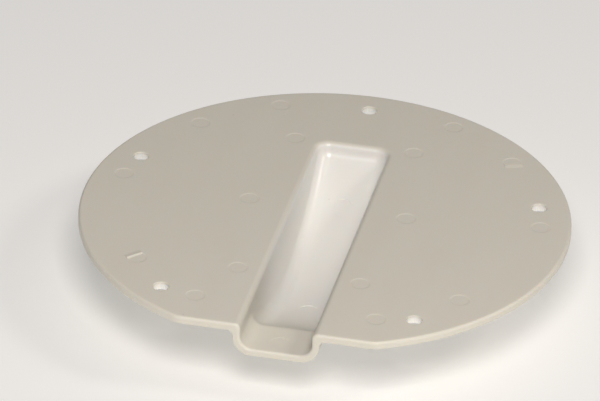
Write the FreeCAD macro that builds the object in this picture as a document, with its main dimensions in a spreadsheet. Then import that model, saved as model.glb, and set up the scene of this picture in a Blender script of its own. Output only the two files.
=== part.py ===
"""Closing plate with a sunken trough: a thin moulded disc, screwed over a round opening.

Frame, in millimetres: +Z is up, out of the plate's top face. The origin is the centre of the circle of screw
holes, on the underside, which is the face that seats. The trough hangs below the underside and runs out
towards -Y through a flat cut on the disc. The moulding is symmetric about the YZ plane, apart from the raised
chips in two pin marks.

Every driving size is a cell of the sheet called Sizes, and the sketches and features read the cells.
"""
import FreeCAD, Part
import math
import os

import Sketcher
from FreeCAD import Placement, Rotation, Vector

NODE = "flange_plate"
TOLERANCE = 1e-4

# name, size in millimetres (a count or degrees where it says so), meaning
SIZES = (
    ("plate_diameter", 120.0, "outside of the disc"),
    ("plate_thickness", 2.0, "wall of the disc"),
    ("flat_cut", 5.0, "rim to the flat, across the flat's middle"),
    ("top_edge_radius", 0.7, "rounding of the upper rim and of the trough's mouth"),
    ("bottom_edge_radius", 0.3, "rounding of the lower rim"),
    ("bolt_inset", 7.5, "rim to the centres of the screw holes"),
    ("bolt_count", 5, "number of screw holes, one of them opposite the flat"),
    ("corner_radius", 5.0, "rounding in plan where the flat meets the rim"),
    ("bolt_hole", 3.7, "clearance hole for a 3.5 mm screw"),
    ("hole_edge_radius", 0.25, "rounding of a screw hole's upper edge"),
    ("trough_width", 17.4, "clear width between the trough's walls"),
    ("trough_wall", 1.8, "wall of the trough"),
    ("bowl_radius", 62.0, "radius of the floor's long curve, seen from the side"),
    ("bowl_depth", 18.0, "top face to the lowest point of the floor"),
    ("bowl_offset", 7.0, "centre to that lowest point, towards the flat"),
    ("back_wall_depth", 2.5, "top face to the foot of the upright back wall"),
    ("shelf_depth", 6.5, "top face to the level shelf at the open end"),
    ("crease_radius", 3.5, "rounding where the shelf drops into the bowl"),
    ("floor_radius", 3.0, "inner rounding between the floor and the walls"),
    ("lip_radius", 1.5, "rounding of the trough's upper edge"),
    ("root_radius", 1.5, "rounding between the trough and the underside"),
    ("straight_wall", 0.3, "least height left between the root's rounding and the floor's outer one"),
    ("pin_diameter", 5.0, "mark of an ejector pin that presses on the plate, at its rim"),
    ("pin_depth", 0.09, "sink of an ejector pin's mark"),
    ("pin_rim", 0.36, "width of the slope around a plate mark's floor"),
    ("chip_ridge", 1.15, "raised chip in two of the marks: the mark's centre to the chip's ridge"),
    ("chip_foot", 0.75, "the mark's centre to the foot of the chip's steep side"),
    ("chip_height", 0.2, "top face to the chip's ridge"),
    ("chip_turn_front", 137.0, "degrees, the way that the front mark's chip slopes down"),
    ("chip_turn_back", -67.0, "degrees, the way that the back mark's chip slopes down"),
    ("floor_pin_diameter", 4.5, "ejector pins that press on the trough's floor"),
    ("rear_floor_pin", 22.0, "the plate's centre to the pin on the floor's rear slope"),
    ("front_floor_pin", -16.5, "the plate's centre to the pin on the floor's front slope"),
    ("shelf_pin_inset", 5.0, "flat to the pin on the shelf"),
    ("back_pin_gap", 4.5, "plate pins beside the trough: outside of its wall to the pin's centre"),
    ("back_pin_along", 34.5, "the same pins: distance behind the plate's centre"),
    ("middle_pin_gap", 9.0, "as above, and so on for each pair beside the trough"),
    ("middle_pin_along", 3.0, ""),
    ("front_pin_gap", 4.5, ""),
    ("front_pin_along", -29.5, ""),
    ("rear_pin_inset", 5.8, "plate pins along the rim: rim to the pin's centre"),
    ("rear_pin_angle", 66.0, "the same pins: degrees from the X axis, positive behind it"),
    ("rear_corner_pin_inset", 6.6, "as above, and so on for each pair along the rim"),
    ("rear_corner_pin_angle", 42.3, ""),
    ("side_pin_inset", 7.5, ""),
    ("side_pin_angle", 7.7, ""),
    ("front_corner_pin_inset", 9.8, ""),
    ("front_corner_pin_angle", -38.1, ""),
    ("flat_pin_inset", 10.4, ""),
    ("flat_pin_angle", -63.7, ""),
)
TROUGH_PINS = ("back_pin", "middle_pin", "front_pin")
RIM_PINS = ("rear_pin", "rear_corner_pin", "side_pin", "front_corner_pin", "flat_pin")

# Lines that several features share, as expressions on the sheet.
FLAT = "(Sizes.flat_cut - Sizes.plate_diameter / 2)"
BOWL_AXIS_HEIGHT = "(Sizes.plate_thickness - Sizes.bowl_depth + Sizes.bowl_radius)"
SHELF_HEIGHT = "(Sizes.plate_thickness - Sizes.shelf_depth)"
OUTER_HALF_WIDTH = "Sizes.trough_width / 2 + Sizes.trough_wall"
WALL_UNDER_DISC = "(Sizes.shelf_depth + Sizes.trough_wall - Sizes.plate_thickness)"
OUTER_FLOOR_RADIUS = (
    "min(Sizes.floor_radius + Sizes.trough_wall; "
    f"{WALL_UNDER_DISC} - Sizes.root_radius - Sizes.straight_wall)"
)

# The trough's outside runs up into the disc's wall, and its hollow runs out past the top face and the flat.
INSIDE_THE_WALL = "Sizes.plate_thickness / 2"
BACK_INSIDE_THE_WALL = "Sizes.plate_thickness / 4"
ABOVE_THE_DISC = "2 * Sizes.plate_thickness"
BEYOND_THE_FLAT = "-Sizes.plate_diameter / 2"


class Sheet:
    """The sheet of driving sizes, with a value for a name or for an expression."""

    def __init__(self, doc):
        self.cells = doc.addObject("Spreadsheet::Sheet", "Sizes")
        for row, (name, value, meaning) in enumerate(SIZES, start=1):
            self.cells.set(f"A{row}", name)
            self.cells.set(f"B{row}", str(value))
            self.cells.set(f"C{row}", meaning)
            self.cells.setAlias(f"B{row}", name)
        doc.recompute()

    def value(self, expression):
        """Returns the number that an expression on the sheet comes to."""
        result = self.cells.evalExpression(expression)
        return float(getattr(result, "Value", result))


def origin_feature(body, role):
    """Returns one of the body's own origin planes or axes."""
    return next(feature for feature in body.Origin.OriginFeatures if feature.Role == role)


def offset_from_plane(attached, across="0", along="0", height="0", turn="0", turn_axis=(0, 0, 1)):
    """Moves an attached sketch or plane off its support, then turns it, by expressions on the sheet."""
    attached.AttachmentOffset = Placement(Vector(0, 0, 0), Rotation(Vector(*turn_axis), 1.0))
    for path, expression in (("Base.x", across), ("Base.y", along), ("Base.z", height)):
        attached.setExpression("AttachmentOffset." + path, expression)
    attached.setExpression("AttachmentOffset.Rotation.Angle", turn)


class Profile:
    """A sketch on one of the body's own planes, with sizes that follow the sheet."""

    def __init__(self, body, sheet, name, role):
        self.sheet = sheet
        self.sketch = body.newObject("Sketcher::SketchObject", name)
        self.sketch.AttachmentSupport = [(origin_feature(body, role), "")]
        self.sketch.MapMode = "FlatFace"

    def line(self, start, end):
        """Adds a line between two points of the sketch and returns its index."""
        return self.sketch.addGeometry(Part.LineSegment(Vector(*start, 0), Vector(*end, 0)))

    def arc(self, centre, radius, start, end):
        """Adds an arc that runs anticlockwise from one point to another, and returns its index."""
        first = math.atan2(start[1] - centre[1], start[0] - centre[0])
        last = math.atan2(end[1] - centre[1], end[0] - centre[0])
        circle = Part.Circle(Vector(*centre, 0), Vector(0, 0, 1), radius)
        return self.sketch.addGeometry(Part.ArcOfCircle(circle, first, last))

    def join(self, edges):
        """Joins each edge's end to the next edge's start, all the way round."""
        for edge, following in zip(edges, edges[1:] + edges[:1]):
            self.sketch.addConstraint(Sketcher.Constraint("Coincident", edge, 2, following, 1))

    def level(self, edge):
        """Keeps a line parallel to the sketch's first axis."""
        self.sketch.addConstraint(Sketcher.Constraint("Horizontal", edge))

    def upright(self, edge):
        """Keeps a line parallel to the sketch's second axis."""
        self.sketch.addConstraint(Sketcher.Constraint("Vertical", edge))

    def place(self, edge, point, across=None, along=None):
        """Holds a point of an edge at its distances from the sketch's origin."""
        for kind, expression in (("DistanceX", across), ("DistanceY", along)):
            if expression is not None:
                self._size((kind, -1, 1, edge, point), expression)

    def radius(self, edge, expression):
        """Sets the radius of a circle or an arc."""
        self._size(("Radius", edge), expression)

    def circle(self, across, along, radius):
        """Adds a circle, placed and sized by expressions."""
        centre = Vector(self.sheet.value(across), self.sheet.value(along), 0)
        edge = self.sketch.addGeometry(Part.Circle(centre, Vector(0, 0, 1), self.sheet.value(radius)))
        self.place(edge, 3, across, along)
        self.radius(edge, radius)

    def _size(self, arguments, expression):
        value = self.sheet.value(expression)
        index = self.sketch.addConstraint(Sketcher.Constraint(*arguments, value))
        self.sketch.setExpression(f"Constraints[{index}]", expression)


class Moulding:
    """The one body, built feature by feature, with a check after each."""

    def __init__(self, doc, sheet):
        self.doc = doc
        self.sheet = sheet
        self.body = doc.addObject("PartDesign::Body", NODE)
        self.body.Label = NODE
        self.volume = 0.0

    def value(self, expression):
        """Returns the number that an expression on the sheet comes to."""
        return self.sheet.value(expression)

    def profile(self, name, role="XY_Plane"):
        """Starts a sketch on one of the body's planes."""
        return Profile(self.body, self.sheet, name, role)

    def extrude(self, kind, profile, length, symmetric=False, taper=None):
        """Adds a Pad or cuts a Pocket of a given length from a profile, and returns it."""
        feature = self.body.newObject("PartDesign::" + kind, profile.sketch.Name + kind)
        feature.Profile = profile.sketch
        feature.setExpression("Length", length)
        if taper is not None:
            feature.setExpression("TaperAngle", taper)
        if symmetric:
            feature.SideType = "Symmetric"
        return self.finish(feature, grows=kind == "Pad")

    def cut_down_to(self, profile, plane):
        """Cuts a profile down to a plane, and returns the Pocket."""
        feature = self.body.newObject("PartDesign::Pocket", profile.sketch.Name + "Pocket")
        feature.Profile = profile.sketch
        feature.Type = "UpToFace"
        feature.UpToFace = (plane, [""])
        return self.finish(feature, grows=False)

    def round_edges(self, name, radius, belongs):
        """Rounds every edge of the body that passes a test."""
        tip = self.body.Tip
        edges = enumerate(tip.Shape.Edges, start=1)
        feature = self.body.newObject("PartDesign::Fillet", name)
        feature.Base = (tip, [f"Edge{number}" for number, edge in edges if belongs(edge)])
        feature.setExpression("Radius", radius)
        return self.finish(feature)

    def repeat(self, kind, name, original, **settings):
        """Repeats a feature by a pattern or a mirror image, and returns it."""
        feature = self.body.newObject("PartDesign::" + kind, name)
        feature.Originals = [original]
        for setting, value in settings.items():
            setattr(feature, setting, value)
        return feature

    def finish(self, feature, grows=None):
        """Makes a feature the tip, and stops unless it changed the volume the right way."""
        self.body.Tip = feature
        self.doc.recompute()
        if {"Invalid", "Error"} & set(feature.State) or not feature.Shape.isValid():
            raise RuntimeError(f"{feature.Label} failed: {feature.State}")
        change = feature.Shape.Volume - self.volume
        if abs(change) < TOLERANCE or (grows is not None and (change > 0) != grows):
            raise RuntimeError(f"{feature.Label} changed the volume by {change:.4f}")
        self.volume = feature.Shape.Volume
        return feature


def ends_and_middle(edge):
    """Returns three points of an edge."""
    first, last = edge.ParameterRange
    return [edge.valueAt(parameter) for parameter in (first, (first + last) / 2, last)]


def lies_on(edge, axis, place):
    """Tells whether an edge lies in the plane across an axis at a place."""
    return all(abs(getattr(point, axis) - place) < TOLERANCE for point in ends_and_middle(edge))


def on_either_side(edge, half_width):
    """Tells whether an edge lies in one of the two planes at a distance from the YZ plane."""
    return lies_on(edge, "x", half_width) or lies_on(edge, "x", -half_width)


def within(edge, half_width):
    """Tells whether an edge stays between those two planes."""
    return all(abs(point.x) < half_width + TOLERANCE for point in ends_and_middle(edge))


def add_disc(moulding):
    """Makes the disc: a circle with a flat cut towards -Y."""
    radius = moulding.value("Sizes.plate_diameter / 2")
    flat = moulding.value(FLAT)
    half_chord = math.sqrt(radius ** 2 - flat ** 2)
    profile = moulding.profile("Disc")
    rim = profile.arc((0, 0), radius, (half_chord, flat), (-half_chord, flat))
    cut = profile.line((-half_chord, flat), (half_chord, flat))
    profile.join([rim, cut])
    profile.level(cut)
    profile.place(rim, 3, "0", "0")
    profile.radius(rim, "Sizes.plate_diameter / 2")
    profile.place(cut, 1, along=FLAT)
    moulding.extrude("Pad", profile, "Sizes.plate_thickness")
    moulding.round_edges(
        "FlatCorners",
        "Sizes.corner_radius",
        lambda edge: on_either_side(edge, half_chord) and lies_on(edge, "y", flat),
    )


def side_view(moulding, name, offset, front, top, arc_end):
    """Draws the trough's side view, its floor lowered by an offset, and returns it with the arc's two ends.

    The floor runs level from the front to the crease, then along one arc, down and up to the height of the
    arc's end, where an upright back wall takes it to the top line.
    """
    radius_rule = f"Sizes.bowl_radius + {offset}"
    shelf_rule = f"{SHELF_HEIGHT} - {offset}"
    centre = (moulding.value("-Sizes.bowl_offset"), moulding.value(BOWL_AXIS_HEIGHT))
    radius = moulding.value(radius_rule)

    def point_on_bowl(height, side):
        return centre[0] + side * math.sqrt(radius ** 2 - (height - centre[1]) ** 2), height

    shelf_height = moulding.value(shelf_rule)
    low_front = (moulding.value(front), shelf_height)
    high_front = (moulding.value(front), moulding.value(top))
    crease = point_on_bowl(shelf_height, side=-1)
    low_back = point_on_bowl(moulding.value(arc_end), side=1)
    high_back = (low_back[0], moulding.value(top))

    profile = moulding.profile(name, "YZ_Plane")
    mouth = profile.line(high_front, low_front)
    shelf = profile.line(low_front, crease)
    bowl = profile.arc(centre, radius, crease, low_back)
    back_wall = profile.line(low_back, high_back)
    lid = profile.line(high_back, high_front)
    profile.join([mouth, shelf, bowl, back_wall, lid])
    profile.upright(mouth)
    profile.level(shelf)
    profile.upright(back_wall)
    profile.level(lid)
    profile.place(mouth, 1, front, top)
    profile.place(shelf, 1, along=shelf_rule)
    profile.place(back_wall, 1, along=arc_end)
    profile.place(bowl, 3, "-Sizes.bowl_offset", BOWL_AXIS_HEIGHT)
    profile.radius(bowl, radius_rule)
    return profile, crease, low_back


def round_floor(moulding, name, crease, foot, half_width, floor_radius, ceiling):
    """Rounds the floor's crease, then each edge below the ceiling where a wall meets the floor or a wall."""
    flat = moulding.value(FLAT)
    moulding.round_edges(
        name + "Crease",
        "Sizes.crease_radius",
        lambda edge: lies_on(edge, "y", crease[0]) and lies_on(edge, "z", crease[1]),
    )
    moulding.round_edges(
        name + "FloorEdges",
        floor_radius,
        lambda edge: (on_either_side(edge, half_width) or lies_on(edge, "y", foot[0]))
        and not lies_on(edge, "y", flat)
        and not lies_on(edge, "z", ceiling),
    )


def add_trough(moulding):
    """Hangs the trough's outside under the disc, and rounds its floor's edges and its root."""
    flat = moulding.value(FLAT)
    half_width = moulding.value(OUTER_HALF_WIDTH)
    profile, crease, foot = side_view(
        moulding,
        "TroughOutside",
        offset="Sizes.trough_wall",
        front=FLAT,
        top=INSIDE_THE_WALL,
        arc_end=BACK_INSIDE_THE_WALL,
    )
    moulding.extrude("Pad", profile, f"2 * ({OUTER_HALF_WIDTH})", symmetric=True)
    round_floor(moulding, "Outer", crease, foot, half_width, OUTER_FLOOR_RADIUS, ceiling=0.0)
    moulding.round_edges(
        "Root",
        "Sizes.root_radius",
        lambda edge: lies_on(edge, "z", 0.0) and not lies_on(edge, "y", flat) and within(edge, half_width),
    )


def cut_trough(moulding):
    """Hollows the trough out through the top face and the flat, and rounds its floor's edges and its lip."""
    flat = moulding.value(FLAT)
    top = moulding.value("Sizes.plate_thickness")
    half_width = moulding.value("Sizes.trough_width / 2")
    profile, crease, foot = side_view(
        moulding,
        "TroughInside",
        offset="0",
        front=BEYOND_THE_FLAT,
        top=ABOVE_THE_DISC,
        arc_end="Sizes.plate_thickness - Sizes.back_wall_depth",
    )
    moulding.extrude("Pocket", profile, "Sizes.trough_width", symmetric=True)
    round_floor(moulding, "Inner", crease, foot, half_width, "Sizes.floor_radius", ceiling=top)
    moulding.round_edges(
        "Lip",
        "Sizes.lip_radius",
        lambda edge: lies_on(edge, "z", top) and not lies_on(edge, "y", flat) and within(edge, half_width),
    )


def round_rims(moulding):
    """Rounds the disc's two rims, each with the edge of the trough's open end that it runs into."""
    flat = moulding.value(FLAT)
    top = moulding.value("Sizes.plate_thickness")
    inner_half_width = moulding.value("Sizes.trough_width / 2")
    shelf = moulding.value(SHELF_HEIGHT)
    outside = moulding.value("Sizes.plate_diameter / 2 - Sizes.corner_radius")

    def on_rim(edge, height):
        return lies_on(edge, "z", height) and all(
            math.hypot(point.x, point.y) > outside or abs(point.y - flat) < TOLERANCE
            for point in ends_and_middle(edge)
        )

    def around_mouth(edge):
        middle = ends_and_middle(edge)[1]
        inside = abs(middle.x) < inner_half_width + TOLERANCE and middle.z > shelf - TOLERANCE
        return lies_on(edge, "y", flat) and (inside or middle.z > TOLERANCE)

    def around_end(edge):
        return lies_on(edge, "y", flat) and not around_mouth(edge)

    moulding.round_edges(
        "UpperRim", "Sizes.top_edge_radius", lambda edge: on_rim(edge, top) or around_mouth(edge)
    )
    moulding.round_edges(
        "LowerRim", "Sizes.bottom_edge_radius", lambda edge: on_rim(edge, 0.0) or around_end(edge)
    )


def drill_screw_holes(moulding):
    """Drills one screw hole opposite the flat, repeats it round the disc and rounds the upper edges."""
    top = moulding.value("Sizes.plate_thickness")
    hole_radius = moulding.value("Sizes.bolt_hole / 2")
    profile = moulding.profile("ScrewHole")
    profile.circle("0", "Sizes.plate_diameter / 2 - Sizes.bolt_inset", "Sizes.bolt_hole / 2")
    offset_from_plane(profile.sketch, height="Sizes.plate_thickness")
    moulding.doc.recompute()
    hole = moulding.body.newObject("PartDesign::Hole", "Drilling")
    hole.Profile = profile.sketch
    hole.setExpression("Diameter", "Sizes.bolt_hole")
    hole.DepthType = "ThroughAll"
    moulding.finish(hole, grows=False)
    ring = moulding.repeat(
        "PolarPattern", "ScrewHoles", hole, Axis=(origin_feature(moulding.body, "Z_Axis"), [""]), Angle=360.0
    )
    ring.setExpression("Occurrences", "Sizes.bolt_count")
    moulding.finish(ring, grows=False)
    moulding.round_edges(
        "HoleEdges",
        "Sizes.hole_edge_radius",
        lambda edge: lies_on(edge, "z", top)
        and isinstance(edge.Curve, Part.Circle)
        and abs(edge.Curve.Radius - hole_radius) < TOLERANCE,
    )


def pin_place(pins):
    """Returns the rules for where the right-hand pin of a pair stands: across the plate, and along it."""
    if pins in TROUGH_PINS:
        return f"{OUTER_HALF_WIDTH} + Sizes.{pins}_gap", f"Sizes.{pins}_along"
    distance = f"(Sizes.plate_diameter / 2 - Sizes.{pins}_inset)"
    return f"{distance} * cos(Sizes.{pins}_angle)", f"{distance} * sin(Sizes.{pins}_angle)"


def sink_plate_pins(moulding):
    """Sinks the marks of the plate's ejector pins, drawn on the right and mirrored to the left."""
    profile = moulding.profile("PinMarks")
    for pins in TROUGH_PINS + RIM_PINS:
        profile.circle(*pin_place(pins), "Sizes.pin_diameter / 2")
    offset_from_plane(profile.sketch, height="Sizes.plate_thickness")
    inwards = "-atan(Sizes.pin_rim / Sizes.pin_depth)"
    marks = moulding.extrude("Pocket", profile, "Sizes.pin_depth", taper=inwards)
    mirror = moulding.repeat(
        "Mirrored", "LeftPinMarks", marks, MirrorPlane=(origin_feature(moulding.body, "YZ_Plane"), [""])
    )
    moulding.finish(mirror, grows=False)


def raise_chip(moulding, name, pins, side, turn):
    """Raises the chip that a nicked pin leaves: a wedge across its mark, on side 1 or -1 of the plate.

    The wedge is steep towards the mark's centre and slopes down to the mark's rim. It is drawn in its own
    upright section through that centre, and it is as long as the chord of the rim under its ridge.
    """
    across, along = pin_place(pins)
    rim = "Sizes.pin_diameter / 2"
    floor = "(Sizes.plate_thickness - Sizes.pin_depth)"
    ridge_height = "(Sizes.plate_thickness + Sizes.chip_height)"
    foot = (moulding.value("Sizes.chip_foot"), moulding.value(floor))
    ridge = (moulding.value("Sizes.chip_ridge"), moulding.value(ridge_height))
    edge = (moulding.value(rim), moulding.value("Sizes.plate_thickness"))
    root = (edge[0], foot[1])
    profile = moulding.profile(name, "XZ_Plane")
    steep = profile.line(foot, ridge)
    slope = profile.line(ridge, edge)
    buried = profile.line(edge, root)
    base = profile.line(root, foot)
    profile.join([steep, slope, buried, base])
    profile.place(steep, 1, "Sizes.chip_foot", floor)
    profile.place(slope, 1, "Sizes.chip_ridge", ridge_height)
    profile.place(buried, 1, rim, "Sizes.plate_thickness")
    profile.place(base, 1, rim, floor)
    offset_from_plane(profile.sketch, f"{side} * {across}", "0", f"-({along})", turn, turn_axis=(0, 1, 0))
    moulding.extrude("Pad", profile, f"2 * sqrt(({rim}) ^ 2 - Sizes.chip_ridge ^ 2)", symmetric=True)


def sink_floor_pin(moulding, name, along):
    """Sinks the mark of an upright pin whose end follows the floor, on the shelf or on the bowl's slope."""
    behind = f"({along} + Sizes.bowl_offset)"
    rise = f"({BOWL_AXIS_HEIGHT} - {SHELF_HEIGHT})"
    on_shelf = f"{behind} < -sqrt(Sizes.bowl_radius ^ 2 - {rise} ^ 2)"
    bowl_height = f"{BOWL_AXIS_HEIGHT} - sqrt(Sizes.bowl_radius ^ 2 - {behind} ^ 2)"
    end = moulding.body.newObject("PartDesign::Plane", name + "End")
    end.AttachmentSupport = [(origin_feature(moulding.body, "XY_Plane"), "")]
    end.MapMode = "FlatFace"
    offset_from_plane(
        end,
        along=along,
        height=f"({on_shelf} ? {SHELF_HEIGHT} : {bowl_height}) - Sizes.pin_depth",
        turn=f"{on_shelf} ? 0 deg : asin({behind} / Sizes.bowl_radius)",
        turn_axis=(1, 0, 0),
    )
    profile = moulding.profile(name)
    profile.circle("0", along, "Sizes.floor_pin_diameter / 2")
    offset_from_plane(profile.sketch, height="Sizes.plate_thickness")
    moulding.cut_down_to(profile, end)


def main():
    """Builds the moulding and writes it out."""
    doc = FreeCAD.newDocument("ClosingPlate")
    moulding = Moulding(doc, Sheet(doc))
    add_disc(moulding)
    add_trough(moulding)
    cut_trough(moulding)
    round_rims(moulding)
    drill_screw_holes(moulding)
    sink_plate_pins(moulding)
    raise_chip(moulding, "FrontChip", "front_corner_pin", side=-1, turn="Sizes.chip_turn_front")
    raise_chip(moulding, "BackChip", "rear_corner_pin", side=1, turn="Sizes.chip_turn_back")
    sink_floor_pin(moulding, "RearFloorPin", "Sizes.rear_floor_pin")
    sink_floor_pin(moulding, "FrontFloorPin", "Sizes.front_floor_pin")
    sink_floor_pin(moulding, "ShelfPin", f"({FLAT} + Sizes.shelf_pin_inset)")

    doc.recompute()
    failed = [item.Label for item in doc.Objects if {"Invalid", "Error"} & set(item.State)]
    shape = moulding.body.Shape
    if failed or shape.isNull() or not shape.isValid() or len(shape.Solids) != 1:
        raise RuntimeError(f"the moulding is not one valid solid; failed objects: {failed}")
    os.makedirs("parts", exist_ok=True)
    shape.exportStep(f"parts/{NODE}.step")
    box = shape.optimalBoundingBox(True, False)
    print(f"{NODE}: {shape.Volume:.1f} mm3, box {box.XLength:.2f} x {box.YLength:.2f} x {box.ZLength:.2f} mm")


main()
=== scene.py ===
"""Closing plate with a sunken trough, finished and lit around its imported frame.

The plate is one injection moulding in cream-white ABS. Its shape is the frame's own, so this file gives it
its finish, and sets it on a white table between soft boxes. Units are metres, and the axes are the frame's:
+Z out of the plate's top face, and -Y through the middle of its flat.
"""
import logging
import math
from dataclasses import dataclass
from enum import Enum
from typing import Union

import bmesh
import bpy
from mathutils import Matrix, Vector


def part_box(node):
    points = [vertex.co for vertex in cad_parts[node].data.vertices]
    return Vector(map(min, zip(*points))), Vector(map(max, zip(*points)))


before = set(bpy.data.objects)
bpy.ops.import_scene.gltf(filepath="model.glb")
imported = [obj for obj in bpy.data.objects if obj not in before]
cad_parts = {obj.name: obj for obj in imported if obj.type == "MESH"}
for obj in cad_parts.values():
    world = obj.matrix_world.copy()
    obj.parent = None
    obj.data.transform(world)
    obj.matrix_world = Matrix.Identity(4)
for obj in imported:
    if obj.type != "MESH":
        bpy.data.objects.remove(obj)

LOG = logging.getLogger("closing_plate")
MM = 0.001
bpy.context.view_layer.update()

# What a node's input takes: a number, a vector or colour, another node, or one of its outputs.
Setting = Union[float, tuple, bpy.types.Node, bpy.types.NodeSocket]


def linear(hex_colour: str) -> tuple[float, float, float, float]:
    """Turns an sRGB hex colour into the linear one that shaders and lamps take.

    Args:
        hex_colour: Six hex digits after a "#", red first.

    Returns:
        Red, green and blue, and an alpha of 1.
    """
    channels = [int(hex_colour[start:start + 2], 16) / 255 for start in (1, 3, 5)]
    red, green, blue = (c / 12.92 if c <= 0.04045 else ((c + 0.055) / 1.055) ** 2.4 for c in channels)
    return red, green, blue, 1.0


def add_node(
    material: bpy.types.Material, kind: str, inputs: dict[Union[str, int], Setting], **settings: object
) -> bpy.types.Node:
    """Adds a shader node with its settings and links.

    Args:
        material: The material that the node joins.
        kind: The node's type, without the leading "ShaderNode".
        inputs: What each input takes, by its label or number. A node stands for its first output in use.
        **settings: The node's own settings, by name.

    Returns:
        The node.
    """
    node = material.node_tree.nodes.new("ShaderNode" + kind)
    for name, value in settings.items():
        setattr(node, name, value)
    for label, value in inputs.items():
        if isinstance(value, bpy.types.Node):
            value = next(output for output in value.outputs if output.enabled)
        if isinstance(value, bpy.types.NodeSocket):
            material.node_tree.links.new(value, node.inputs[label])
        else:
            node.inputs[label].default_value = value
    return node


def direction(azimuth: float, elevation: float) -> Vector:
    """Finds the unit vector that points from the plate to something around it.

    Args:
        azimuth: Degrees from straight in front of the flat, growing to the right.
        elevation: Degrees above the horizon.

    Returns:
        The vector.
    """
    turn, rise = math.radians(azimuth), math.radians(elevation)
    return Vector((math.sin(turn) * math.cos(rise), -math.cos(turn) * math.cos(rise), math.sin(rise)))


def facing(back: Vector, roll: float = 0.0) -> Matrix:
    """Finds the turn of a lamp or camera that looks against a vector, level but for its roll.

    Args:
        back: The unit vector from what is looked at to the lamp or camera.
        roll: Degrees that the lamp or camera is turned about its own view, anticlockwise from behind it.

    Returns:
        The rotation, with its columns pointing right, up and back.
    """
    right = Vector((0, 0, 1)).cross(back).normalized()
    level = Matrix((right, back.cross(right), back)).transposed()
    return level @ Matrix.Rotation(math.radians(roll), 3, "Z")


class ToolFinish(Enum):
    """How the mould's steel was finished, as the roughness that it leaves on the plastic."""

    SPARK_ERODED = 0.46
    POLISHED = 0.30


@dataclass(frozen=True)
class CorePolishAndPaintedLight:
    """Where the mould's core steel left a glossier surface, and where a whiter colour is painted as painted
    light: in the trough and in the screw holes.

    Nothing here tells the trough's inside from its outside, so the gloss and the painted light lie under the
    trough as well, and on the strip of rim and lower face straight behind it.
    """

    # The gloss and the painted light start on the rounded lip, and are whole a little further under the top
    # face.
    start_mm: float = 0.1
    full_mm: float = 0.8
    # The trough and the hole behind it lie this near to the middle line, and the other holes further out.
    half_width_mm: float = 10.0
    # All the holes lie this near to the centre, and the flat lies just beyond.
    bored_within_mm: float = 54.8
    # The shelf was left satin and is not painted whiter, so the trough's gloss and painted light fade in
    # between these distances behind the flat.
    fade_start_mm: float = 10.0
    fade_end_mm: float = 42.0

    def build(
        self, material: bpy.types.Material, place: bpy.types.NodeSocket, top: float, front: float
    ) -> bpy.types.Node:
        """Adds the nodes that find how far the surface is glossy core work, and so how far it is painted
        whiter as painted light.

        Args:
            material: The material that the nodes join.
            place: The point of the surface.
            top: Height of the plate's top face.
            front: Where the flat lies along Y.

        Returns:
            A value of 0 on the faces and the shelf, which grows over the lip and along the trough to 1, and
            is 1 in the holes.
        """
        point = add_node(material, "SeparateXYZ", {"Vector": place}).outputs
        under = add_node(
            material,
            "MapRange",
            {"Value": point["Z"], "From Min": top - self.start_mm * MM, "From Max": top - self.full_mm * MM},
            interpolation_type="SMOOTHSTEP",
        )
        trough = self._trough(material, point, front)
        bores = self._bores(material, place, point)
        cored = add_node(material, "Math", {0: trough, 1: bores}, operation="ADD")
        return add_node(material, "Math", {0: under, 1: cored}, operation="MULTIPLY")

    def _trough(
        self, material: bpy.types.Material, point: bpy.types.NodeOutputs, front: float
    ) -> bpy.types.Node:
        """Adds the nodes for the trough, and for what is straight behind it.

        Args:
            material: The material that the nodes join.
            point: The surface's X, Y and Z.
            front: Where the flat lies along Y.

        Returns:
            A value that grows from 0 to 1 along the trough, and is 0 on the plate's left and right.
        """
        behind = add_node(
            material,
            "MapRange",
            {
                "Value": point["Y"],
                "From Min": front + self.fade_start_mm * MM,
                "From Max": front + self.fade_end_mm * MM,
            },
            interpolation_type="SMOOTHSTEP",
        )
        aside = add_node(material, "Math", {0: point["X"]}, operation="ABSOLUTE")
        within = add_node(material, "Math", {0: aside, 1: self.half_width_mm * MM}, operation="LESS_THAN")
        return add_node(material, "Math", {0: within, 1: behind}, operation="MULTIPLY")

    def _bores(
        self, material: bpy.types.Material, place: bpy.types.NodeSocket, point: bpy.types.NodeOutputs
    ) -> bpy.types.Node:
        """Adds the nodes for the screw holes on the left and right.

        Args:
            material: The material that the nodes join.
            place: The point of the surface.
            point: Its X, Y and Z.

        Returns:
            A value of 1 above the lower face, inside the rim and beside the trough, where the only walls are
            the holes' own.
        """
        aside = add_node(material, "Math", {0: point["X"]}, operation="ABSOLUTE")
        level = add_node(material, "VectorMath", {0: place, 1: (1.0, 1.0, 0.0)}, operation="MULTIPLY")
        away = add_node(material, "VectorMath", {0: level}, operation="LENGTH")
        bores = add_node(material, "Math", {0: aside, 1: self.half_width_mm * MM}, operation="GREATER_THAN")
        near = add_node(material, "Math", {0: away, 1: self.bored_within_mm * MM}, operation="LESS_THAN")
        above = add_node(material, "Math", {0: point["Z"], 1: 0.0}, operation="GREATER_THAN")
        for limit in (near, above):
            bores = add_node(material, "Math", {0: bores, 1: limit}, operation="MULTIPLY")
        return bores


@dataclass(frozen=True)
class Relief:
    """A shallow pattern in the moulded surface: how wide and deep its bumps are, and how broken up."""

    size_mm: float
    depth_mm: float
    detail: float


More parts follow.
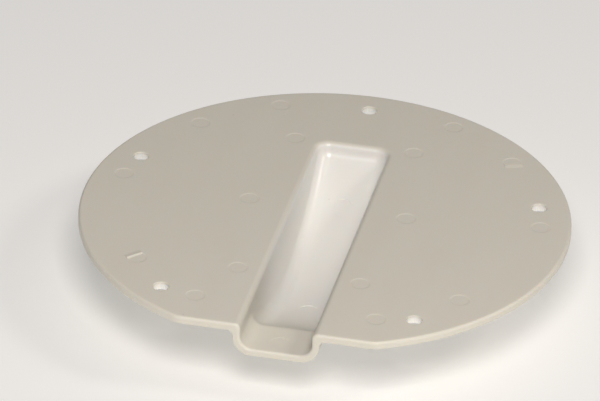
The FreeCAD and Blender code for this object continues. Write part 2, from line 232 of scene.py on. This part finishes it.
@dataclass(frozen=True)
class MouldedABS:
    """Cream-white ABS, injection moulded and left as it came out of the tool.

    The plate's faces copy a spark-eroded tool, so they are satin and have a fine grain. The trough's core
    steel was brought to a gloss, so its hollow is glossier. The hollow and the screw holes are also painted a
    shade whiter than the faces, as painted light for the light that falls into them. Light goes a little way
    into the plastic, which softens every rounded edge.
    """

    name: str = "injection_moulded_abs"
    face_colour: str = "#dedbd0"
    streak_colour: str = "#dbd7ca"
    # Painted light: the trough and the screw holes are painted this whiter colour, for the light that falls
    # into them.
    painted_light_core_colour: str = "#eae9e5"
    speck_colour: str = "#94897a"
    ior: float = 1.53
    face: ToolFinish = ToolFinish.SPARK_ERODED
    core: ToolFinish = ToolFinish.POLISHED
    # This mask sets both the glossier roughness and where the painted light is laid.
    polish_and_painted_light: CorePolishAndPaintedLight = CorePolishAndPaintedLight()
    scatter_share: float = 0.3
    scatter_reach_mm: tuple[float, float, float] = (2.0, 1.5, 1.0)
    # Shrinkage over the wall leaves slow waves that bend the highlights.
    waves: Relief = Relief(size_mm=14.0, depth_mm=0.05, detail=0.0)
    # Real grain is about 0.1 mm. It is drawn coarser, so that it shows as a faint tooth.
    grain: Relief = Relief(size_mm=0.55, depth_mm=0.012, detail=2.0)
    # Flow streaks run along the trough, and are much longer than wide.
    streak_mm: float = 9.0
    streak_stretch: float = 0.22
    streak_detail: float = 3.0
    # Burnt specks in the resin, about one to a cube of this side, so that only a few reach the surface.
    speck_cell_mm: float = 9.0
    speck_radius_mm: float = 0.25
    speck_strength: float = 0.6

    def build(self, top: float, front: float) -> bpy.types.Material:
        """Makes the material.

        Args:
            top: Height of the plate's top face.
            front: Where the flat lies along Y.

        Returns:
            The material.
        """
        material = bpy.data.materials.new(self.name)
        material.use_nodes = True
        material.node_tree.nodes.clear()
        place = add_node(material, "TexCoord", {}).outputs["Object"]
        # One mask gives the glossier roughness and lays the painted light.
        polished_and_painted_light = self.polish_and_painted_light.build(material, place, top, front)
        graded = {"Value": polished_and_painted_light, "To Min": self.face.value, "To Max": self.core.value}
        shader = add_node(
            material,
            "BsdfPrincipled",
            {
                "Base Color": self._colour(material, place, polished_and_painted_light),
                "Roughness": add_node(material, "MapRange", graded),
                "IOR": self.ior,
                "Subsurface Weight": self.scatter_share,
                "Subsurface Radius": self.scatter_reach_mm,
                "Subsurface Scale": MM,
                "Normal": self._relief(material, place),
            },
        )
        add_node(material, "OutputMaterial", {"Surface": shader})
        return material

    def _colour(
        self, material: bpy.types.Material, place: bpy.types.NodeSocket, polished_and_painted_light: bpy.types.Node
    ) -> bpy.types.Node:
        """Adds the nodes for the colour: the faces' own, then flow streaks, the painted light of the whiter
        core colour, and specks.

        Args:
            material: The material that the nodes join.
            place: The point of the surface.
            polished_and_painted_light: How far the surface is glossy core work, and so how far it is painted
                whiter as painted light.

        Returns:
            The colour.
        """
        stretched = add_node(material, "Mapping", {"Vector": place, "Scale": (1.0, self.streak_stretch, 1.0)})
        flow = {"Vector": stretched, "Scale": 1 / (self.streak_mm * MM), "Detail": self.streak_detail}
        streaks = add_node(material, "TexNoise", flow)
        cells = add_node(material, "TexVoronoi", {"Vector": place, "Scale": 1 / (self.speck_cell_mm * MM)})
        specks = add_node(
            material,
            "MapRange",
            {
                "Value": cells,
                "From Min": 0.0,
                "From Max": self.speck_radius_mm / self.speck_cell_mm,
                "To Min": self.speck_strength,
                "To Max": 0.0,
            },
        )
        colour = linear(self.face_colour)
        # The core colour is painted light, laid over the trough and the screw holes.
        layers = (streaks, self.streak_colour), (polished_and_painted_light, self.painted_light_core_colour), (specks, self.speck_colour)
        for share, laid_over in layers:
            inputs = {"Factor": share, "A": colour, "B": linear(laid_over)}
            colour = add_node(material, "Mix", inputs, data_type="RGBA")
        return colour

    def _relief(self, material: bpy.types.Material, place: bpy.types.NodeSocket) -> bpy.types.Node:
        """Adds the nodes that lay the grain over the slow waves, and returns the last of them."""
        bumps = {}
        for relief in (self.waves, self.grain):
            pattern = {"Vector": place, "Scale": 1 / (relief.size_mm * MM), "Detail": relief.detail}
            bumps["Height"] = add_node(material, "TexNoise", pattern)
            bumps["Distance"] = relief.depth_mm * MM
            bumps["Normal"] = add_node(material, "Bump", bumps)
        return bumps["Normal"]


@dataclass
class ClosingPlate:
    """The plate itself, whose shape is the frame's."""

    node: str = "flange_plate"
    # The wedges that nicked ejector pins left stand this far above the top face.
    wedge_height: float = 0.2 * MM
    finish: MouldedABS = MouldedABS()

    @property
    def foot(self) -> float:
        """Height of the plate's lowest point."""
        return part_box(self.node)[0].z

    @property
    def top(self) -> float:
        """Height of the plate's top face."""
        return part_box(self.node)[1].z - self.wedge_height

    @property
    def front(self) -> float:
        """Where the flat lies along Y."""
        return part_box(self.node)[0].y

    def dress(self) -> bpy.types.Object:
        """Gives the moulding its finish, and returns it."""
        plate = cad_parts[self.node]
        material = self.finish.build(self.top, self.front)
        for slot in plate.material_slots:
            slot.material = material
        return plate


@dataclass(frozen=True)
class WhiteLaminate:
    """White laminate, pressed against a matt sheet, so that its gloss is too broad to show a highlight.

    It is lit a little from within, so that it stays white around the plate.
    """

    name: str = "white_laminate"
    colour: str = "#d2d1cf"
    roughness: float = 0.6
    specular_level: float = 0.2
    own_light: float = 0.5

    def build(self) -> bpy.types.Material:
        """Makes the material, and returns it."""
        material = bpy.data.materials.new(self.name)
        material.use_nodes = True
        material.node_tree.nodes.clear()
        inputs = {
            "Base Color": linear(self.colour),
            "Roughness": self.roughness,
            "Specular IOR Level": self.specular_level,
            "Emission Color": linear(self.colour),
            "Emission Strength": self.own_light,
        }
        shader = add_node(material, "BsdfPrincipled", inputs)
        add_node(material, "OutputMaterial", {"Surface": shader})
        return material


@dataclass
class Table:
    """A wide table top, at the height of the plate's lowest point."""

    half_width: float = 12.0
    finish: WhiteLaminate = WhiteLaminate()

    def build(self, height: float) -> bpy.types.Object:
        """Makes the table top.

        Args:
            height: Where its upper face lies.

        Returns:
            The table top.
        """
        mesh = bpy.data.meshes.new("table")
        form = bmesh.new()
        bmesh.ops.create_grid(form, x_segments=1, y_segments=1, size=self.half_width)
        bmesh.ops.translate(form, verts=form.verts, vec=(0, 0, height))
        form.to_mesh(mesh)
        form.free()
        table = bpy.data.objects.new("table", mesh)
        bpy.context.scene.collection.objects.link(table)
        mesh.materials.append(self.finish.build())
        return table


@dataclass
class SoftBox:
    """A square soft box that points at the plate."""

    name: str
    azimuth: float
    elevation: float
    distance: float
    width: float
    power: float
    colour: str

    def build(self, target: Vector) -> bpy.types.Object:
        """Sets up the lamp.

        Args:
            target: The point that it lights.

        Returns:
            The lamp's object.
        """
        lamp = bpy.data.lights.new(self.name, "AREA")
        lamp.shape = "SQUARE"
        lamp.size = self.width
        lamp.energy = self.power
        lamp.color = linear(self.colour)[:3]
        box = bpy.data.objects.new(self.name, lamp)
        bpy.context.scene.collection.objects.link(box)
        away = direction(self.azimuth, self.elevation)
        box.matrix_world = Matrix.Translation(target + away * self.distance) @ facing(away).to_4x4()
        return box


@dataclass
class Studio:
    """The soft boxes around the plate, and the pale room that fills its shadows."""

    boxes: tuple[SoftBox, ...] = (
        SoftBox("key_box", azimuth=13, elevation=48, distance=0.9, width=0.35, power=6.4, colour="#fffaf6"),
        SoftBox(
            "window_box", azimuth=92, elevation=42, distance=1.2, width=0.25, power=2.8, colour="#fff8f0"
        ),
    )
    room_colour: str = "#eef2ff"
    room_light: float = 0.06

    def build(self, target: Vector) -> list[bpy.types.Object]:
        """Sets up the lamps and the room.

        Args:
            target: The point that the lamps light.

        Returns:
            The lamps' objects.
        """
        room = bpy.data.worlds.new("room")
        room.use_nodes = True
        background = room.node_tree.nodes["Background"]
        background.inputs["Color"].default_value = linear(self.room_colour)
        background.inputs["Strength"].default_value = self.room_light
        bpy.context.scene.world = room
        bpy.context.scene.view_settings.view_transform = "Standard"
        return [box.build(target) for box in self.boxes]


@dataclass
class Viewer:
    """The camera: a long lens in front of the flat and a little to its right, looking down on the plate."""

    azimuth: float = 11.43
    elevation: float = 30.72
    roll: float = 1.4475
    distance: float = 1.607
    lens_mm: float = 396.5
    # The view is centred this far to the left of the plate's middle, and above it.
    aim_left: float = 6.1 * MM
    aim_above: float = 3.36 * MM
    # It sees this far, past the table's end.
    sight: float = 50.0

    def build(self, target: Vector) -> bpy.types.Object:
        """Sets up the camera.

        Args:
            target: The middle of the plate's top face.

        Returns:
            The camera's object.
        """
        away = direction(self.azimuth, self.elevation)
        place = target + away * self.distance
        straight = facing(away, self.roll)
        aim = target - straight.col[0] * self.aim_left + straight.col[1] * self.aim_above
        camera = bpy.data.objects.new("viewer", bpy.data.cameras.new("viewer"))
        camera.data.lens = self.lens_mm
        camera.data.clip_end = self.sight
        bpy.context.scene.collection.objects.link(camera)
        turned = facing((place - aim).normalized(), self.roll)
        camera.matrix_world = Matrix.Translation(place) @ turned.to_4x4()
        bpy.context.scene.camera = camera
        return camera


def main() -> None:
    """Dresses the plate, and sets the table, the lights and the camera around it."""
    logging.basicConfig(level=logging.INFO, format="%(name)s: %(message)s")
    plate = ClosingPlate()
    middle = Vector((0, 0, plate.top))
    moulding = plate.dress()
    table = Table().build(plate.foot)
    lamps = Studio().build(middle)
    camera = Viewer().build(middle)
    for piece in (moulding, table, *lamps, camera):
        LOG.info("%s: %s, %s", piece.name, piece.type.lower(), piece.data.name)


if __name__ == "__main__":
    main()
